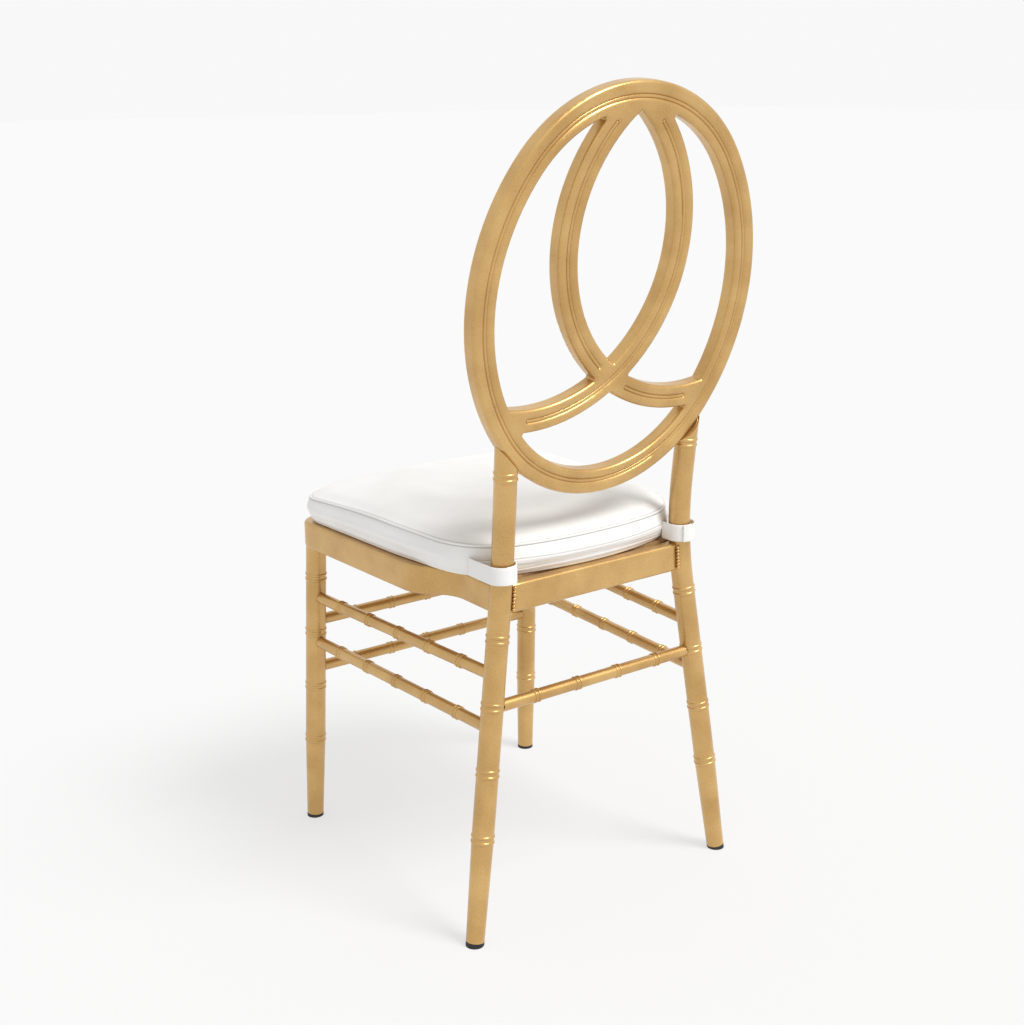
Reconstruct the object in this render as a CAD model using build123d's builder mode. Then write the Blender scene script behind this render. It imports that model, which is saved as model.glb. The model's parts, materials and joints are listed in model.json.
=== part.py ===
from build123d import *
from math import acos, asin, atan2, cos, degrees, radians, sin, tan
import os

os.makedirs("parts", exist_ok=True)

# An oval-backed banquet chair: a frame welded from round and flat tube, a cast oval back,
# a plywood seat panel and a soft cushion strapped to the rear posts.
# Millimetres. Z is up from the floor, X = 0 is the plane of symmetry, the front faces -Y.
# Left is the left hand of the person sitting on it, +X.

# Round tube of the legs and posts
tube_d = 25.0
tube_wall = 1.5
foot_d = 21.0
weld_gap = 0.2

# Rear posts: a leaning leg, one long bend at seat height and a straight upper post
rear_foot_x = 184.0
rear_foot_y = 168.0
rear_splay = 0.140  # inward run for each millimetre of height
rear_sweep = 0.0565  # forward run for each millimetre of height
bend_z = 420.0
bend_radius = 600.0
post_spread = 0.022  # outward run above the bend
post_rake = 0.088  # rearward run above the bend
rear_node_z = 122.5  # lowest bead ring
rear_node_pitch = 74.0
post_node_z = 525.5

# Front legs
front_foot_x = 171.8
front_foot_y = -208.2
front_splay = 0.0224
front_sweep = 0.0458
front_node_z = 112.0
front_node_pitch = 73.0
node_count = 4
leg_cap = 3.0

# Bead rings that imitate bamboo joints
leg_bead_h = 0.9
leg_bead_half = 1.9
leg_bead_pitch = 6.6
rod_bead_h = 1.1
rod_bead_half = 1.6
rod_bead_pitch = 5.2

# Stretchers
rod_d = 14.0
rod_wall = 1.2
side_low_z = 245.0
side_high_z = 304.0
front_low_z = 208.0
front_high_z = 271.5
rear_rod_z = 268.0
side_nodes = 5
rear_nodes = 4

# Flat tube of the seat band and rear rail
band_t = 16.0
band_h = 33.0
band_round = 4.0
band_z = 371.5
band_front_y = -208.0
band_half = 180.0
band_corner = 26.0
band_taper = 2.1
band_side = 200.0
sbend_out = 48.0  # radius of the outer face where it turns in
sbend_in = 40.0  # radius of the outer face where it turns back to the post
rail_y = 147.0
rail_bend = 40.0
rail_turn = 22.0
rail_into = 3.0  # end of the rail past the side of the post

# Weld beads at the rail ends
bead_r = 2.2
bead_step = 4.1
bead_count = 7

# Back oval: ring and two crossing arcs
oval_half_w = 189.0
oval_half_h = 220.0
oval_end_r = 174.0  # radius of the ring at top and bottom
oval_bar = 28.0
oval_t = 19.0
oval_z = 705.0
oval_y = 177.4
oval_rake = 8.5
arc_r = 181.0
arc_bar = 26.0
arc_centre_x = 104.5
arc_centre_v = 58.5
oval_corner = 2.0
oval_round = 4.5
groove_in = 15.5  # groove line of the ring from its outer edge
groove_half = 6.2
groove_depth = 2.3
groove_ridge = 1.1
groove_floor = 1.9
groove_shoulder = 0.24
groove_end = 17.0  # plain length of an arc before it meets the ring
groove_cross = 25.0  # plain length of the crossed arc beside the crossing

# Foot glides
glide_h = 4.5
glide_stem = 18.0
glide_fit = 0.2

# Seat panel, its tabs and screws
panel_t = 10.0
panel_gap = 1.5
tab_w = 24.0
tab_l = 20.0
tab_t = 3.0
tab_hole = 5.0
tab_reach = 12.0  # screw line from the inner face of the band
tab_side_at = (45.0, 150.0)  # along the straight side
tab_rear_x = 60.0
screw_d = 4.0
screw_head_d = 8.0
screw_head_h = 2.4
screw_bite = 7.5
screw_fit = 0.1

# Cushion
rest_gap = 0.3
cushion_half = 177.0
cushion_front_y = -205.0
cushion_rear_half = 160.0
cushion_rear_y = 119.0
cushion_back_y = 153.0
cushion_front_r = 34.0
cushion_rear_r = 85.0
cushion_side = 38.5
cushion_crown = 10.0
cushion_round = 5.0
cover_t = 1.5
foam_gap = 0.3

# Straps round the posts
strap_z = 418.0
strap_w = 20.0
strap_t = 1.5
tab_clear = 2.2  # inner tab from the post
strap_lap = 0.4  # gap between tab and flap
strap_root = 0.8
flap_past = 28.0  # flap end past the rear of the post, degrees
tab_past = 15.0  # tab end past the rear of the post, degrees


def save(part, name):
    """Label one piece and write it."""
    part.label = name
    export_step(part, f"parts/{name}.step")


def mirrored(part):
    """The same piece on the other side of the chair."""
    with BuildPart() as other:
        mirror(part, about=Plane.YZ)
    return other.part


def axis_plane(start, direction):
    """Plane through an axis: its Y runs along the axis and its X is radial."""
    along = Vector(*direction).normalized()
    across = Vector(0, 0, 1) if abs(along.Z) < 0.7 else Vector(0, 1, 0)
    radial = along.cross(across).normalized()
    return Plane(origin=start, x_dir=radial, z_dir=radial.cross(along))


def bead_rings(plane, radius, stations, height, half, pitch):
    """Profile of double bead rings at stations along the Y of an axis plane."""
    root = radius - rod_wall / 2
    with BuildSketch(plane) as rings:
        for station in stations:
            for side in (-0.5, 0.5):
                mid = station + side * pitch
                low, high = (radius, mid - half), (radius, mid + half)
                with BuildLine():
                    ThreePointArc(low, (radius + height, mid), high)
                    Polyline(high, (root, mid + half), (root, mid - half), low)
                make_face()
    return rings.sketch


# Axes of the legs and posts
tube_r = tube_d / 2
bore_r = tube_r - tube_wall
foot_r = foot_d / 2
rear_foot = Vector(rear_foot_x, rear_foot_y, 0)
rear_run = Vector(-rear_splay, -rear_sweep, 1)
post_run = Vector(post_spread, post_rake, 1)
post_bend = rear_foot + rear_run * bend_z
bend_turn = radians(rear_run.get_angle(post_run))
bend_zone = bend_radius * tan(bend_turn / 2) / rear_run.length
front_foot = Vector(front_foot_x, front_foot_y, 0)
front_run = Vector(-front_splay, front_sweep, 1)
rear_nodes_z = [rear_node_z + rear_node_pitch * i for i in range(node_count)]
front_nodes_z = [front_node_z + front_node_pitch * i for i in range(node_count)]
rear_plane = axis_plane(rear_foot, rear_run)
post_plane = axis_plane(post_bend, post_run)
front_plane = axis_plane(front_foot, front_run)
rear_axis = Axis(rear_foot, rear_run)
post_axis = Axis(post_bend, post_run)
front_axis = Axis(front_foot, front_run)
rear_stations = [z * rear_run.length for z in rear_nodes_z]
front_stations = [z * front_run.length for z in front_nodes_z]
post_station = (post_node_z - bend_z) * post_run.length
leg_beads = (leg_bead_h, leg_bead_half, leg_bead_pitch)
rod_beads = (rod_bead_h, rod_bead_half, rod_bead_pitch)
bead_span = leg_bead_pitch + 2 * leg_bead_half


def rear_point(z):
    """Axis of the left rear post at a height."""
    inside = min(max(z - bend_z + bend_zone, 0), 2 * bend_zone)
    bent = inside**2 / (4 * bend_zone) + max(z - bend_z - bend_zone, 0)
    return rear_foot + rear_run * z + (post_run - rear_run) * bent


def front_point(z):
    """Axis of the left front leg at a height."""
    return front_foot + front_run * z


# Back oval: outline of four tangent arcs
oval_plane = Plane(
    origin=(0, oval_y, oval_z),
    x_dir=(1, 0, 0),
    z_dir=(0, -cos(radians(oval_rake)), sin(radians(oval_rake))),
)
end_centre = oval_half_h - oval_end_r
oval_side_r = (end_centre**2 + oval_half_w**2 - oval_end_r**2) / (2 * (oval_half_w - oval_end_r))
side_centre = oval_side_r - oval_half_w
end_angle = degrees(asin(side_centre / (oval_side_r - oval_end_r)))


def oval_line(inset, plane=Plane.XY):
    """Closed oval of four tangent arcs, drawn in from the outer edge of the ring."""
    end_r = oval_end_r - inset
    side_r = oval_side_r - inset
    with BuildLine(plane) as oval:
        CenterArc((0, end_centre), end_r, 90 - end_angle, 2 * end_angle)
        CenterArc((side_centre, 0), side_r, 90 + end_angle, 180 - 2 * end_angle)
        CenterArc((0, -end_centre), end_r, 270 - end_angle, 2 * end_angle)
        CenterArc((-side_centre, 0), side_r, 270 + end_angle, 180 - 2 * end_angle)
    return oval.line


def oval_face(inset):
    """Filled oval."""
    with BuildSketch() as face:
        make_face(oval_line(inset))
    return face.sketch


def arc_band(hand):
    """Band of one crossing arc, drawn as the full ring it is part of."""
    with BuildSketch() as band:
        with Locations((hand * arc_centre_x, arc_centre_v)):
            Circle(arc_r + arc_bar / 2)
            Circle(arc_r - arc_bar / 2, mode=Mode.SUBTRACT)
    return band.sketch


def circles_meet(centre, radius, other, other_r, side):
    """Angle on a circle where another circle meets it, on one side of the line of centres."""
    away = Vector(*other) - Vector(*centre)
    reach = (away.length**2 + radius**2 - other_r**2) / (2 * away.length * radius)
    return degrees(atan2(away.Y, away.X)) % 360 + side * degrees(acos(reach))


def groove_section(plane, start):
    """Cut of a moulded groove: rounded shoulders, a floor and a thin ridge in the middle."""
    mid = (groove_half + groove_floor) / 2
    shoulder = groove_depth * groove_shoulder
    ridge = groove_ridge - groove_depth
    with BuildSketch(plane) as cut:
        with BuildLine():
            ThreePointArc((-groove_half, 0), (-mid, -shoulder), (-groove_floor, -groove_depth))
            ThreePointArc((-groove_floor, -groove_depth), (0, ridge), (groove_floor, -groove_depth))
            ThreePointArc((groove_floor, -groove_depth), (mid, -shoulder), (groove_half, 0))
            Polyline(
                (groove_half, 0),
                (groove_half, groove_depth),
                (-groove_half, groove_depth),
                (-groove_half, 0),
            )
        make_face()
        kept = (2 * groove_half, 4 * groove_depth)
        with Locations((start * groove_half, 0)):
            Rectangle(*kept, align=(Align.MIN, Align.CENTER), mode=Mode.INTERSECT)
    return cut.sketch


def groove_plane(point, along, out):
    """Plane across a groove: its X is across, its Y points out of the face."""
    return Plane(origin=point, x_dir=out.cross(along), z_dir=along)


arc_centre = (arc_centre_x, arc_centre_v)
top_angle = circles_meet(arc_centre, arc_r, (0, end_centre), oval_end_r - oval_bar, -1)
low_angle = circles_meet(arc_centre, arc_r, (-side_centre, 0), oval_side_r - oval_bar, 1)
cross_angle = 180 + degrees(acos(arc_centre_x / arc_r))
end_step = degrees(groove_end / arc_r)
cross_step = degrees(groove_cross / arc_r)
whole_groove = [(top_angle + end_step, low_angle - end_step)]
broken_groove = [
    (top_angle + end_step, cross_angle - cross_step),
    (cross_angle + cross_step, low_angle - end_step),
]
gap_join = (oval_end_r - oval_bar) * sin(radians(end_angle))
join_slack = 0.01

with BuildSketch() as oval_gaps:
    add(oval_face(oval_bar))
    add(arc_band(-1), mode=Mode.SUBTRACT)
    add(arc_band(1), mode=Mode.SUBTRACT)
    fillet([v for v in oval_gaps.vertices() if abs(abs(v.X) - gap_join) > join_slack], radius=oval_corner)


def arc_groove(hand, span, plane, out):
    """Cutter of one groove along a crossing arc, with round ends."""
    first, last = span if hand > 0 else (180 - span[0], 180 - span[1])
    with BuildPart() as groove:
        with BuildLine(plane) as line:
            CenterArc((hand * arc_centre_x, arc_centre_v), arc_r, first, last - first)
        start, stop = line.line @ 0, line.line @ 1
        ahead, behind = line.line % 0, -(line.line % 1)
        sweep(groove_section(groove_plane(start, ahead, out), -1), path=line.line)
        for point, along in ((start, ahead), (stop, behind)):
            half_cut = groove_section(groove_plane(point, along, out), 0)
            revolve(half_cut, axis=Axis(point, out), revolution_arc=180)
    return groove.part


with BuildPart() as back_oval:
    with BuildSketch(oval_plane):
        add(oval_face(0))
        add(oval_gaps.sketch, mode=Mode.SUBTRACT)
    extrude(amount=oval_t / 2, both=True)
    fillet(back_oval.faces().filter_by(oval_plane).edges(), radius=oval_round)
    for out in (oval_plane.z_dir, -oval_plane.z_dir):
        face_plane = oval_plane.offset(oval_t / 2 * out.dot(oval_plane.z_dir))
        ring_line = oval_line(groove_in, face_plane)
        ring_cut = groove_section(groove_plane(ring_line @ 0, ring_line % 0, out), -1)
        sweep(ring_cut, path=ring_line, mode=Mode.SUBTRACT)
        for hand, spans in ((1, whole_groove), (-1, broken_groove)):
            for span in spans:
                add(arc_groove(hand, span, face_plane, out), mode=Mode.SUBTRACT)

save(back_oval.part, "back_oval")

# Rear posts
post_low = rear_foot + rear_run * rear_node_z
post_high = post_bend + post_run * (oval_z - oval_half_h / 2 - bend_z)
with BuildLine() as post_line:
    FilletPolyline(post_low, post_bend, post_high, radius=bend_radius)
rear_end = glide_h * rear_run.length
front_end = glide_h * front_run.length


def foot_section(plane, low, high):
    """Wall of the tapered foot of a leg between two stations."""
    with BuildSketch(plane) as wall:
        with BuildLine():
            Polyline(
                (foot_r, low), (tube_r, high), (bore_r, high), (foot_r - tube_wall, low), close=True
            )
        make_face()
    return wall.sketch


with BuildPart() as rear_post_left:
    with BuildSketch(Plane(origin=post_low, z_dir=rear_run)):
        Circle(tube_r)
        Circle(bore_r, mode=Mode.SUBTRACT)
    sweep(path=post_line.line)
    revolve(foot_section(rear_plane, rear_end, rear_stations[0]), axis=rear_axis)
    revolve(bead_rings(rear_plane, tube_r, rear_stations, *leg_beads), axis=rear_axis)
    revolve(bead_rings(post_plane, tube_r, [post_station], *leg_beads), axis=post_axis)
    with BuildSketch(oval_plane):
        add(oval_face(-weld_gap))
    extrude(amount=tube_d, both=True, mode=Mode.SUBTRACT)

save(rear_post_left.part, "rear_post_left")
save(mirrored(rear_post_left.part), "rear_post_right")

# Front legs, closed at the top and cut level under the seat band
leg_top = band_z * front_run.length
with BuildPart() as front_leg_left:
    with BuildSketch(Plane(origin=front_point(front_node_z), z_dir=front_run)):
        Circle(tube_r)
    extrude(amount=leg_top - front_stations[0] + tube_r)
    with BuildSketch(Plane(origin=front_point(front_node_z), z_dir=front_run)):
        Circle(bore_r)
    extrude(amount=leg_top - front_stations[0] - leg_cap, mode=Mode.SUBTRACT)
    revolve(foot_section(front_plane, front_end, front_stations[0]), axis=front_axis)
    revolve(bead_rings(front_plane, tube_r, front_stations, *leg_beads), axis=front_axis)
    split(bisect_by=Plane.XY.offset(band_z), keep=Keep.BOTTOM)

save(front_leg_left.part, "front_leg_left")
save(mirrored(front_leg_left.part), "front_leg_right")


def glide(plane, axis, end):
    """Plug of one foot: a disc cut level at the floor and a stem in the tube."""
    stem_r = foot_r - tube_wall - glide_fit
    with BuildPart() as plug:
        with BuildSketch(plane):
            with BuildLine():
                Polyline(
                    (0, -glide_h),
                    (foot_r, -glide_h),
                    (foot_r, end),
                    (stem_r, end),
                    (stem_r, end + glide_stem),
                    (0, end + glide_stem),
                    close=True,
                )
            make_face()
        revolve(axis=axis)
        split(bisect_by=Plane.XY, keep=Keep.TOP)
    return plug.part


for foot, plug in (
    ("rear", glide(rear_plane, rear_axis, rear_end)),
    ("front", glide(front_plane, front_axis, front_end)),
):
    save(plug, f"foot_glide_{foot}_left")
    save(mirrored(plug), f"foot_glide_{foot}_right")


def collars(plane, stations):
    """Room left for bead rings where another piece meets a leg."""
    reach = tube_r + leg_bead_h + weld_gap
    with BuildSketch(plane) as room:
        for station in stations:
            with Locations((0, station)):
                Rectangle(reach, bead_span + 2 * weld_gap, align=(Align.MIN, Align.CENTER))
    return room.sketch


# Room of the welded joints round the legs
with BuildPart() as rear_room_left:
    with BuildSketch(Plane(origin=post_low, z_dir=rear_run)):
        Circle(tube_r + weld_gap)
    sweep(path=post_line.line)
    revolve(collars(rear_plane, rear_stations), axis=rear_axis)

with BuildPart() as front_room_left:
    with BuildSketch(Plane(origin=front_point(front_node_z), z_dir=front_run)):
        Circle(tube_r + weld_gap)
    extrude(amount=leg_top - front_stations[0])
    revolve(collars(front_plane, front_stations), axis=front_axis)

rear_room_right = mirrored(rear_room_left.part)
front_room_right = mirrored(front_room_left.part)


def across(point):
    """The same point on the other side of the chair."""
    return Vector(-point.X, point.Y, point.Z)


def stretcher(start, end, nodes, rooms):
    """Round rod with bead rings, fitted to the legs at both ends."""
    run = end - start
    stations = [run.length * (i + 1) / (nodes + 1) for i in range(nodes)]
    with BuildPart() as rod:
        with BuildSketch(Plane(origin=start, z_dir=run)):
            Circle(rod_d / 2)
            Circle(rod_d / 2 - rod_wall, mode=Mode.SUBTRACT)
        extrude(amount=run.length)
        rings = bead_rings(axis_plane(start, run), rod_d / 2, stations, *rod_beads)
        revolve(rings, axis=Axis(start, run))
        for room in rooms:
            add(room, mode=Mode.SUBTRACT)
    return rod.part


for level, z in (("lower", side_low_z), ("upper", side_high_z)):
    side = stretcher(front_point(z), rear_point(z), side_nodes, (front_room_left.part, rear_room_left.part))
    save(side, f"side_stretcher_{level}_left")
    save(mirrored(side), f"side_stretcher_{level}_right")
for level, z in (("lower", front_low_z), ("upper", front_high_z)):
    ends = front_point(z), across(front_point(z))
    save(stretcher(*ends, side_nodes, (front_room_left.part, front_room_right)), f"front_stretcher_{level}")
rear_ends = rear_point(rear_rod_z), across(rear_point(rear_rod_z))
save(stretcher(*rear_ends, rear_nodes, (rear_room_left.part, rear_room_right)), "rear_stretcher")

# Seat band: front, corners and sides, then an S-bend in line with each post
band_mid = band_z + band_h / 2
band_top = band_z + band_h
band_post = rear_point(band_mid)
side_heading = 90 + band_taper
band_shift = band_half - band_side * sin(radians(band_taper)) - band_post.X - band_t / 2
sbend_rise = (sbend_out * cos(radians(band_taper)) + sbend_in - band_shift) / (sbend_out + sbend_in)
sbend_heading = 180 - degrees(asin(sbend_rise))


def seat_line(inset, tail_y, plane=Plane.XY):
    """Left half of the seat outline, drawn in from the outer face, ending behind at the post."""
    corner_x = band_half - band_corner * cos(radians(band_taper))
    with BuildLine(plane) as half:
        front = Line((0, band_front_y + inset), (corner_x, band_front_y + inset))
        corner = JernArc(front @ 1, (1, 0), band_corner - inset, side_heading)
        side = Line(corner @ 1, corner @ 1 + (corner % 1) * band_side)
        turn_in = JernArc(side @ 1, side % 1, sbend_out - inset, sbend_heading - side_heading)
        turn_back = JernArc(turn_in @ 1, turn_in % 1, sbend_in + inset, 90 - sbend_heading)
        Line(turn_back @ 1, ((turn_back @ 1).X, tail_y))
    return half.line


def flat_tube(plane):
    """Section of the flat tube, its X across the face and its Y up."""
    with BuildSketch(plane) as section:
        RectangleRounded(band_t, band_h, band_round)
        bore_t = band_t - 2 * tube_wall
        bore_h = band_h - 2 * tube_wall
        RectangleRounded(bore_t, bore_h, band_round - tube_wall, mode=Mode.SUBTRACT)
    return section.sketch


mid_plane = Plane.XY.offset(band_mid)
with BuildPart() as seat_band:
    band_start = Plane(origin=(0, band_front_y + band_t / 2, band_mid), x_dir=(0, 1, 0), z_dir=(1, 0, 0))
    sweep(flat_tube(band_start), path=seat_line(band_t / 2, band_post.Y, mid_plane))
    mirror(about=Plane.YZ)
    add(rear_room_left.part, mode=Mode.SUBTRACT)
    add(rear_room_right, mode=Mode.SUBTRACT)

save(seat_band.part, "seat_band")

# Rear rail, bowed back between the posts
rail_x = band_post.X - tube_r + rail_into - rail_bend * sin(radians(rail_turn))
with BuildPart() as rear_rail:
    with BuildLine(mid_plane) as rail_line:
        straight = Line((0, rail_y), (rail_x, rail_y))
        JernArc(straight @ 1, (1, 0), rail_bend, -rail_turn)
    rail_start = Plane(origin=(0, rail_y, band_mid), x_dir=(0, 1, 0), z_dir=(1, 0, 0))
    sweep(flat_tube(rail_start), path=rail_line.line)
    mirror(about=Plane.YZ)
    add(rear_room_left.part, mode=Mode.SUBTRACT)
    add(rear_room_right, mode=Mode.SUBTRACT)

save(rear_rail.part, "rear_rail")

# Weld beads in the corners between the rail and the posts
bow_centre = (rail_x, rail_y - rail_bend)
bow_reach = rail_bend + band_t / 2 + bead_r + weld_gap
post_reach = tube_r + bead_r + weld_gap
with BuildPart() as rail_weld_beads:
    for i in range(bead_count):
        z = band_mid + (i - (bead_count - 1) / 2) * bead_step
        post = rear_point(z)
        angle = radians(circles_meet(bow_centre, bow_reach, (post.X, post.Y), post_reach, 1))
        with Locations((bow_centre[0] + bow_reach * cos(angle), bow_centre[1] + bow_reach * sin(angle), z)):
            Sphere(bead_r)
    mirror(about=Plane.YZ)

save(rail_weld_beads.part, "rail_weld_beads")

# Seat panel inside the band, on tabs, screwed from below
panel_z = band_top - panel_t
panel_inset = band_t + panel_gap
panel_rear = rail_y - rail_bend * (1 - cos(radians(rail_turn))) - band_t / 2 - panel_gap
panel_tail = band_post.X + band_t / 2 - panel_inset
side_start = Vector(band_half, band_front_y + band_corner * (1 + sin(radians(band_taper))), 0)
side_way = Vector(-sin(radians(band_taper)), cos(radians(band_taper)), 0)
side_in = Vector(-side_way.Y, side_way.X, 0)
lift = Vector(0, 0, panel_z)
tab_planes = [
    Plane(origin=side_start + side_in * band_t + side_way * at + lift, x_dir=side_in, z_dir=(0, 0, 1))
    for at in tab_side_at
]
rail_face = (tab_rear_x, rail_y - band_t / 2, panel_z)
tab_planes.append(Plane(origin=rail_face, x_dir=(0, -1, 0), z_dir=(0, 0, 1)))

with BuildPart() as panel_tabs:
    for plane in tab_planes:
        with BuildSketch(plane):
            with Locations((weld_gap, 0)):
                Rectangle(tab_l, tab_w, align=(Align.MIN, Align.CENTER))
            with Locations((tab_reach, 0)):
                Circle(tab_hole / 2, mode=Mode.SUBTRACT)
        extrude(amount=-tab_t)
    mirror(about=Plane.YZ)

save(panel_tabs.part, "panel_tabs")

with BuildPart() as panel_screws:
    for plane in tab_planes:
        with BuildSketch(plane.offset(-tab_t)):
            with Locations((tab_reach, 0)):
                Circle(screw_d / 2)
        extrude(amount=tab_t + screw_bite)
        with BuildSketch(plane.offset(-tab_t)):
            with Locations((tab_reach, 0)):
                Circle(screw_head_d / 2)
        extrude(amount=-screw_head_h)
    mirror(about=Plane.YZ)

save(panel_screws.part, "panel_screws")

with BuildPart() as panel_pilots:
    for plane in tab_planes:
        with BuildSketch(plane):
            with Locations((tab_reach, 0)):
                Circle(screw_d / 2 + screw_fit)
        extrude(amount=screw_bite + screw_fit)
    mirror(about=Plane.YZ)

with BuildPart() as seat_panel:
    with BuildSketch(Plane.XY.offset(panel_z)):
        with BuildLine():
            add(seat_line(panel_inset, panel_rear))
            Polyline((panel_tail, panel_rear), (0, panel_rear), (0, band_front_y + panel_inset))
        make_face()
        mirror(about=Plane.YZ)
    extrude(amount=panel_t)
    add(panel_pilots.part, mode=Mode.SUBTRACT)

save(seat_panel.part, "seat_panel")

# Cushion: boxed sides, domed top, flat underside
cushion_z = band_top + rest_gap
dome_span = (cushion_back_y - cushion_front_y) / 2
dome_r = (dome_span**2 + cushion_crown**2) / (2 * cushion_crown)
dome_y = (cushion_back_y + cushion_front_y) / 2
dome_z = cushion_z + cushion_side + cushion_crown - dome_r


def cushion_outline(grow):
    """Plan of the cushion, drawn out by a margin."""
    left, right = (cushion_rear_half, cushion_rear_y), (-cushion_rear_half, cushion_rear_y)
    with BuildSketch() as plan:
        with BuildLine():
            Polyline(right, (-cushion_half, cushion_front_y), (cushion_half, cushion_front_y), left)
            ThreePointArc(left, (0, cushion_back_y), right)
        make_face()
        fillet(plan.vertices().sort_by(Axis.Y)[:2], radius=cushion_front_r)
        fillet(plan.vertices().sort_by(Axis.Y)[-2:], radius=cushion_rear_r)
        offset(amount=grow)
    return plan.sketch


def cushion_block(inset):
    """Cushion form, drawn in by a margin all round."""
    with BuildPart() as block:
        with BuildSketch(Plane.XY.offset(cushion_z + inset)):
            add(cushion_outline(-inset))
        extrude(amount=cushion_side + cushion_crown)
        with Locations((0, dome_y, dome_z)):
            Sphere(dome_r - inset, mode=Mode.INTERSECT)
        levels = block.faces().sort_by(Axis.Z)
        fillet(levels[0].edges() + levels[-1].edges(), radius=cushion_round - inset)
    return block.part


with BuildPart() as cushion_cover:
    add(cushion_block(0))
    add(cushion_block(cover_t), mode=Mode.SUBTRACT)

save(cushion_cover.part, "cushion_cover")
save(cushion_block(cover_t + foam_gap), "cushion_foam")

# Straps: a tab sewn at the rear of the cushion inside each post, and a flap from its side
# that goes round behind the post and closes over the tab
strap_post = rear_point(strap_z)
tab_r = tube_r + tab_clear
flap_r = tab_r + strap_t + strap_lap
strap_plane = Plane.XY.offset(strap_z - strap_w / 2)
arm = cushion_rear_r
with BuildPart() as strap_room:
    with BuildSketch(Plane.XY.offset(cushion_z)):
        add(cushion_outline(strap_root))
    extrude(amount=cushion_side)


def strap(centre, radius, hand, turn):
    """Strip along one side of a post and round behind it by an angle."""
    start = 0 if hand > 0 else 180
    back = Vector(0, -arm)
    with BuildPart() as strip:
        with BuildSketch(strap_plane):
            with BuildLine():
                inner = CenterArc(centre, radius, start, hand * turn)
                outer = CenterArc(centre, radius + strap_t, start, hand * turn)
                Line(inner @ 1, outer @ 1)
                Polyline(inner @ 0, inner @ 0 + back, outer @ 0 + back, outer @ 0)
            make_face()
        extrude(amount=strap_w)
        add(strap_room.part, mode=Mode.SUBTRACT)
    return strip.part


strap_centre = (strap_post.X, strap_post.Y)
flap = strap(strap_centre, flap_r, 1, 90 + flap_past)
tab = strap(strap_centre, tab_r, -1, 90 + tab_past)
save(flap, "strap_flap_left")
save(mirrored(flap), "strap_flap_right")
save(tab, "strap_tab_left")
save(mirrored(tab), "strap_tab_right")
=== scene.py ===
import json
import logging
import math
from abc import ABC, abstractmethod
from dataclasses import dataclass, field
from enum import Enum
from typing import Any, Sequence

import bpy
import numpy as np
from mathutils import Matrix, Vector


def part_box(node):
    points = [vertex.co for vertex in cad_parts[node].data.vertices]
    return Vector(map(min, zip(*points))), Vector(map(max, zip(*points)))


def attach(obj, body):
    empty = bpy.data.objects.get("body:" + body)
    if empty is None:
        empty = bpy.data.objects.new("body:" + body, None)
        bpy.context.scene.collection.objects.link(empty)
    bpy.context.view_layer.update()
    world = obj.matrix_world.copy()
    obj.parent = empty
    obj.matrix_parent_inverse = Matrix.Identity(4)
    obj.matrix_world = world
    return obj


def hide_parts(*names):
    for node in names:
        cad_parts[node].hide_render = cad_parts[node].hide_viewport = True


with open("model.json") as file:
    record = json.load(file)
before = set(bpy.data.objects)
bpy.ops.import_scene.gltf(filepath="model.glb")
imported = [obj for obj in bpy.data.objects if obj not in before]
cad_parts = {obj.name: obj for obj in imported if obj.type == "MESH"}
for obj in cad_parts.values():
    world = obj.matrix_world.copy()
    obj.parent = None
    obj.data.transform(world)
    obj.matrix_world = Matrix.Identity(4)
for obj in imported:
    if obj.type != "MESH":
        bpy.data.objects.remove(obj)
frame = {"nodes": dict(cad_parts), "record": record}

LOG = logging.getLogger("banquet_chair")
MM = 0.001
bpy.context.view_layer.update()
# Point attribute of the cushion: how deep in a seam's crease each point lies, which the vinyl darkens as
# painted shade.
SEAM_SHADE = "seam"
# Blender's noise seldom leaves this range of grey.
FAINT, STRONG = 0.3, 0.7
# Radians that Blender's wave pattern turns through in one unit of its scale.
WAVE_RADIANS = 20.0
WHITE = (1.0, 1.0, 1.0, 1.0)
BLACK = (0.0, 0.0, 0.0, 1.0)


def linear(code: str) -> tuple[float, float, float, float]:
    """Turn an sRGB hex colour into linear light.

    Args:
        code: six hex digits.

    Returns:
        Red, green, blue and an alpha of one.
    """
    srgb = np.array([int(code[i : i + 2], 16) for i in (0, 2, 4)]) / 255.0
    light = np.where(srgb <= 0.04045, srgb / 12.92, ((srgb + 0.055) / 1.055) ** 2.4)
    return (float(light[0]), float(light[1]), float(light[2]), 1.0)


def per_metre(size_mm: float) -> float:
    """Texture scale of a pattern whose repeat is a size in millimetres."""
    return 1.0 / (size_mm * MM)


class Grain(Enum):
    """Named ways in which a surface is broken up."""

    SPRAYED = "sprayed pigment"
    PEBBLED = "pebbled vinyl"
    WOVEN = "woven tape"
    MOULDED = "moulded plastic"
    VENEER = "rotary cut veneer"
    PLATED = "zinc plate"
    PAPER = "studio paper"


class Nodes:
    """A node tree, with one call that adds a node and links it."""

    def __init__(self, tree: bpy.types.NodeTree) -> None:
        """Start from an empty tree."""
        self.tree = tree
        self.tree.nodes.clear()

    def add(
        self,
        kind: str,
        inputs: dict[Any, Any],
        stops: Sequence[tuple[float, str]] = (),
        **settings: Any,
    ) -> bpy.types.Node:
        """Add a node, set its options, fill its sockets and colour its ramp.

        Args:
            kind: Blender's node type.
            inputs: socket name or number, to a number, colour or another node's output.
            stops: places and hex colours along a ramp, in order.
            settings: node properties.

        Returns:
            The new node.
        """
        node = self.tree.nodes.new(kind)
        for key, value in settings.items():
            setattr(node, key, value)
        for key, value in inputs.items():
            if isinstance(value, bpy.types.NodeSocket):
                self.tree.links.new(value, node.inputs[key])
            else:
                node.inputs[key].default_value = value
        for number, (place, code) in enumerate(stops):
            node.color_ramp.elements[number].position = place
            node.color_ramp.elements[number].color = linear(code)
        return node


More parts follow.
